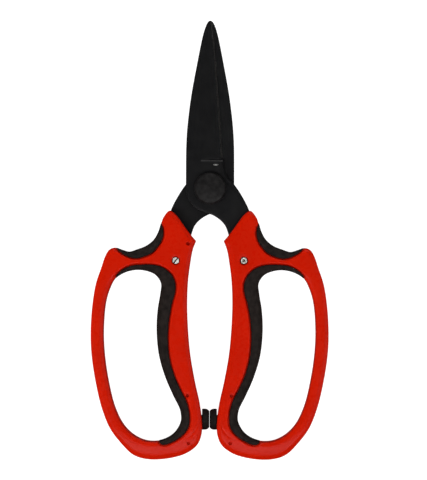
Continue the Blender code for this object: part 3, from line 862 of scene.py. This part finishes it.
def red_plastic():
    """Satin moulded plastic: faint clouding in the colour and a fine spark-eroded grain."""
    made = Finish("red_plastic", Specular_IOR_Level=0.075)
    made.colour(made.ramp(made.noise(90, 4), (0.500, 0.0080, 0.0002), (0.540, 0.0098, 0.0007)))
    made.roughness(made.ramp(made.noise(600, 3), 0.24, 0.33))
    under = made.bump(made.noise(2600, 2), 0.00002, 0.35)
    made.bump(made.noise(160, 2), 0.0001, 0.25, under)
    return made.material


def soft_rubber(name, dark, light, grain):
    """Matte thermoplastic rubber with a stippled skin."""
    made = Finish(name, Specular_IOR_Level=0.12)
    made.colour(made.ramp(made.noise(480, 4), dark, light, 0.35, 0.65))
    made.roughness(made.ramp(made.noise(900, 3), 0.58, 0.74))
    stipple = made.node("ShaderNodeTexVoronoi", Vector=made.place(), Scale=grain)
    under = made.bump(stipple, 0.00006, 0.55)
    made.bump(made.noise(grain * 1.7, 2), 0.00005, 0.4, under)
    return made.material


def blade_coating():
    """Satin black non-stick coating over a surface that was ground along the blade."""
    made = Finish("blade_coating", Specular_IOR_Level=0.12)
    made.colour(made.ramp(made.noise(160, 5), (0.0062, 0.0062, 0.0068), (0.0092, 0.0092, 0.0095)))
    streaks = made.noise(1, 4, (2600, 140, 2600))
    made.roughness(made.ramp(streaks, 0.3, 0.42))
    under = made.bump(streaks, 0.00002, 0.3)
    made.bump(made.noise(1400, 3), 0.00002, 0.25, under)
    return made.material


def honed_steel_and_painted_glint():
    """The bare steel of the cutting edge, with fine grinding lines across it, also laid on the dimple as a
    painted highlight.
    """
    made = Finish("honed_steel_and_painted_glint", Metallic=1.0)
    streaks = made.noise(1, 3, (500, 7000, 500))
    made.colour(made.ramp(streaks, (0.21, 0.21, 0.20), (0.38, 0.38, 0.365)))
    made.roughness(made.ramp(streaks, 0.28, 0.45))
    made.bump(streaks, 0.00001, 0.3)
    return made.material


def step_highlight_coating():
    """The coating where milling left a sharp edge, glossier and painted lighter as a highlight line."""
    made = Finish("step_highlight_coating", Specular_IOR_Level=0.35)
    made.colour(made.ramp(made.noise(1500, 4), (0.012, 0.012, 0.012), (0.034, 0.033, 0.032)))
    made.roughness(made.ramp(made.noise(2500, 2), 0.22, 0.4))
    made.bump(made.noise(2600, 3), 0.00002, 0.3)
    return made.material


def pivot_black():
    """Matte black oxide with a fine mottle."""
    made = Finish("pivot_black", Specular_IOR_Level=0.18)
    made.colour(made.ramp(made.noise(520, 5), (0.0036, 0.0033, 0.0034), (0.0128, 0.0118, 0.0118), 0.35, 0.65))
    made.roughness(made.ramp(made.noise(1500, 3), 0.42, 0.58))
    under = made.bump(made.noise(1100, 3), 0.00005, 0.45)
    made.bump(made.noise(300, 2), 0.0001, 0.3, under)
    return made.material


def bright_steel():
    """Bright turned steel, faintly scratched."""
    made = Finish("bright_steel", Metallic=0.8)
    scratches = made.noise(1, 4, (900, 4200, 900))
    made.colour(made.ramp(scratches, (0.78, 0.75, 0.70), (0.95, 0.92, 0.86)))
    made.roughness(made.ramp(scratches, 0.36, 0.5))
    made.bump(scratches, 0.00001, 0.35)
    return made.material


def light_table():
    """The white sheet that the snips lie on, lit from below so that it shows no shadow."""
    made = Finish("light_table", Roughness=0.9, Specular_IOR_Level=0.0, Base_Color=(0.3, 0.3, 0.3, 1.0))
    made.shader.inputs["Emission Color"].default_value = (1.0, 1.0, 1.0, 1.0)
    made.shader.inputs["Emission Strength"].default_value = 1.0
    return made.material


def studio_air():
    """The surroundings: bright at the height of the table, and dark overhead where the camera stands."""
    world = bpy.data.worlds.new("studio_air")
    world.use_nodes = True
    tree = world.node_tree
    place = tree.nodes.new("ShaderNodeTexCoord")
    parts = tree.nodes.new("ShaderNodeSeparateXYZ")
    fade = tree.nodes.new("ShaderNodeMapRange")
    fade.interpolation_type = "SMOOTHSTEP"
    for socket, value in (("From Min", 0.1), ("From Max", 0.8), ("To Min", 0.35), ("To Max", 0.03)):
        fade.inputs[socket].default_value = value
    tree.links.new(place.outputs["Generated"], parts.inputs[0])
    tree.links.new(parts.outputs["Z"], fade.inputs["Value"])
    tree.links.new(fade.outputs[0], tree.nodes["Background"].inputs["Strength"])
    return world


# The stage.


def stage(low, high):
    """A white floor that the snips lie on, soft light all round, and a camera straight above them."""
    centre = (low + high) / 2
    length = high.y - low.y
    bm = bmesh.new()
    bmesh.ops.create_grid(bm, x_segments=8, y_segments=8, size=length * 12)
    mesh = mesh_of(bm, "floor")
    mesh.materials.append(light_table())
    floor = bpy.data.objects.new("floor", mesh)
    floor.location = (0, 0, low.z - 0.0001)
    bpy.context.scene.collection.objects.link(floor)
    floor.visible_glossy = False  # the lit sheet leaves no glint on the plastic's edges

    def lamp(name, place, size, power, glossy=True):
        """A rectangular lamp that faces the snips. If it isn't glossy, it lights them without a glint."""
        light = bpy.data.lights.new(name, "AREA")
        light.shape = "RECTANGLE"
        light.size, light.size_y = size
        light.energy = power
        item = bpy.data.objects.new(name, light)
        item.location = centre + Vector(place)
        item.rotation_euler = (-Vector(place)).to_track_quat("-Z", "Y").to_euler()
        item.visible_glossy = glossy
        bpy.context.scene.collection.objects.link(item)

    lamp("near_softbox", (0.0, -0.50, 1.1), (1.3, 0.3), 7.0)
    lamp("left_softbox", (-0.95, -0.15, 0.8), (0.5, 1.1), 9.7, False)
    lamp("right_softbox", (0.95, -0.1, 0.8), (0.5, 1.1), 4.4, False)
    lamp("far_softbox", (0.1, 0.9, 0.95), (1.1, 0.35), 4.4)
    bpy.context.scene.world = studio_air()
    bpy.context.scene.view_settings.view_transform = "Standard"
    bpy.context.scene.view_settings.look = "None"

    camera = bpy.data.cameras.new("camera")
    camera.lens = 260
    camera.sensor_width = 36
    view_height = 1.0945 * length
    height = view_height * camera.lens / camera.sensor_width
    aside = 0.0082 * length  # the snips lie a touch left of the middle, and are turned a little
    item = bpy.data.objects.new("camera", camera)
    item.location = (centre.x + aside, centre.y, centre.z + height)
    bpy.context.scene.collection.objects.link(item)
    item.rotation_euler = (0, 0, math.radians(0.15))
    bpy.context.scene.camera = item


def build():
    red = red_plastic()
    rubber = soft_rubber("grip_rubber", (0.0080, 0.0056, 0.0048), (0.0165, 0.0120, 0.0104), 1500)
    stop_rubber = soft_rubber("bumper_rubber", (0.0065, 0.0052, 0.0047), (0.0105, 0.0080, 0.0073), 1900)
    coating = blade_coating()
    honed = honed_steel_and_painted_glint()
    step_highlight = step_highlight_coating()
    black = pivot_black()
    steel = bright_steel()
    meshes = {
        "shell_with_bed": shell_mesh("shell_with_bed", True),
        "plain_shell": shell_mesh("plain_shell", False),
        "inner_grip": grip_mesh("inner_grip", "inner"),
        "thumb_grip": grip_mesh("thumb_grip", "thumb"),
        "bumper": bumper_mesh("bumper"),
        "barrel_nut": barrel_nut_mesh("barrel_nut"),
        "handle_screw": handle_screw_mesh("handle_screw"),
    }
    for side in ("right", "left"):
        with_bed, plain = ("front", "back") if side == "right" else ("back", "front")
        copies = {key: mesh.copy() for key, mesh in meshes.items()}
        copies["plain_shell"].transform(Matrix.Scale(-1, 4, (0, 0, 1)))
        copies["plain_shell"].flip_normals()
        place(copies["shell_with_bed"], side, f"{side}_{with_bed}_shell", "red_shell", [red])
        place(copies["plain_shell"], side, f"{side}_{plain}_shell", "red_shell", [red])
        place(copies["inner_grip"], side, side + "_inner_grip", "soft_grip", [rubber])
        place(copies["thumb_grip"], side, side + "_thumb_grip", "soft_grip", [rubber])
        place(copies["bumper"], side, side + "_bumper", "bumper_rubber", [stop_rubber])
        # On the barrel nut and the screw, the black finish is painted shade in the slot and round the heads.
        place(copies["barrel_nut"], side, side + "_barrel_nut", "bright_steel", [steel, black])
        place(copies["handle_screw"], side, side + "_handle_screw", "bright_steel", [steel, black])
        blade = "front_blade" if side == "right" else "rear_blade"
        # The honed steel also paints the dimple's highlight, and the last finish paints the highlight line
        # along the step.
        place(blade_mesh(blade, side == "right"), side, blade, "blade_coating", [coating, honed, step_highlight], 24)
    place(pivot_bolt_mesh("pivot_bolt"), "right", "pivot_bolt", "pivot_black", [black])
    head_washer = washer_mesh(
        "head_washer", SQUARE_NECK * math.sqrt(0.5) + GAP, (HEAD_WASHER[1].x - HEAD_WASHER[0].x) / 2,
        HEAD_WASHER[0].z - MEETING, HEAD_WASHER[1].z - MEETING,
    )
    place(head_washer, "right", "head_washer", "pivot_black", [black])
    dish = 0.25
    spring = washer_mesh(
        "spring_washer", SHANK_RADIUS + GAP, (SPRING_WASHER[1].x - SPRING_WASHER[0].x) / 2,
        SPRING_WASHER[0].z - MEETING + dish, SPRING_WASHER[1].z - MEETING, dish,
    )
    place(spring, "right", "spring_washer", "bright_steel", [steel])
    place(nut_mesh("pivot_nut"), "right", "pivot_nut", "pivot_black", [black])


build()
stage(*cad_box)
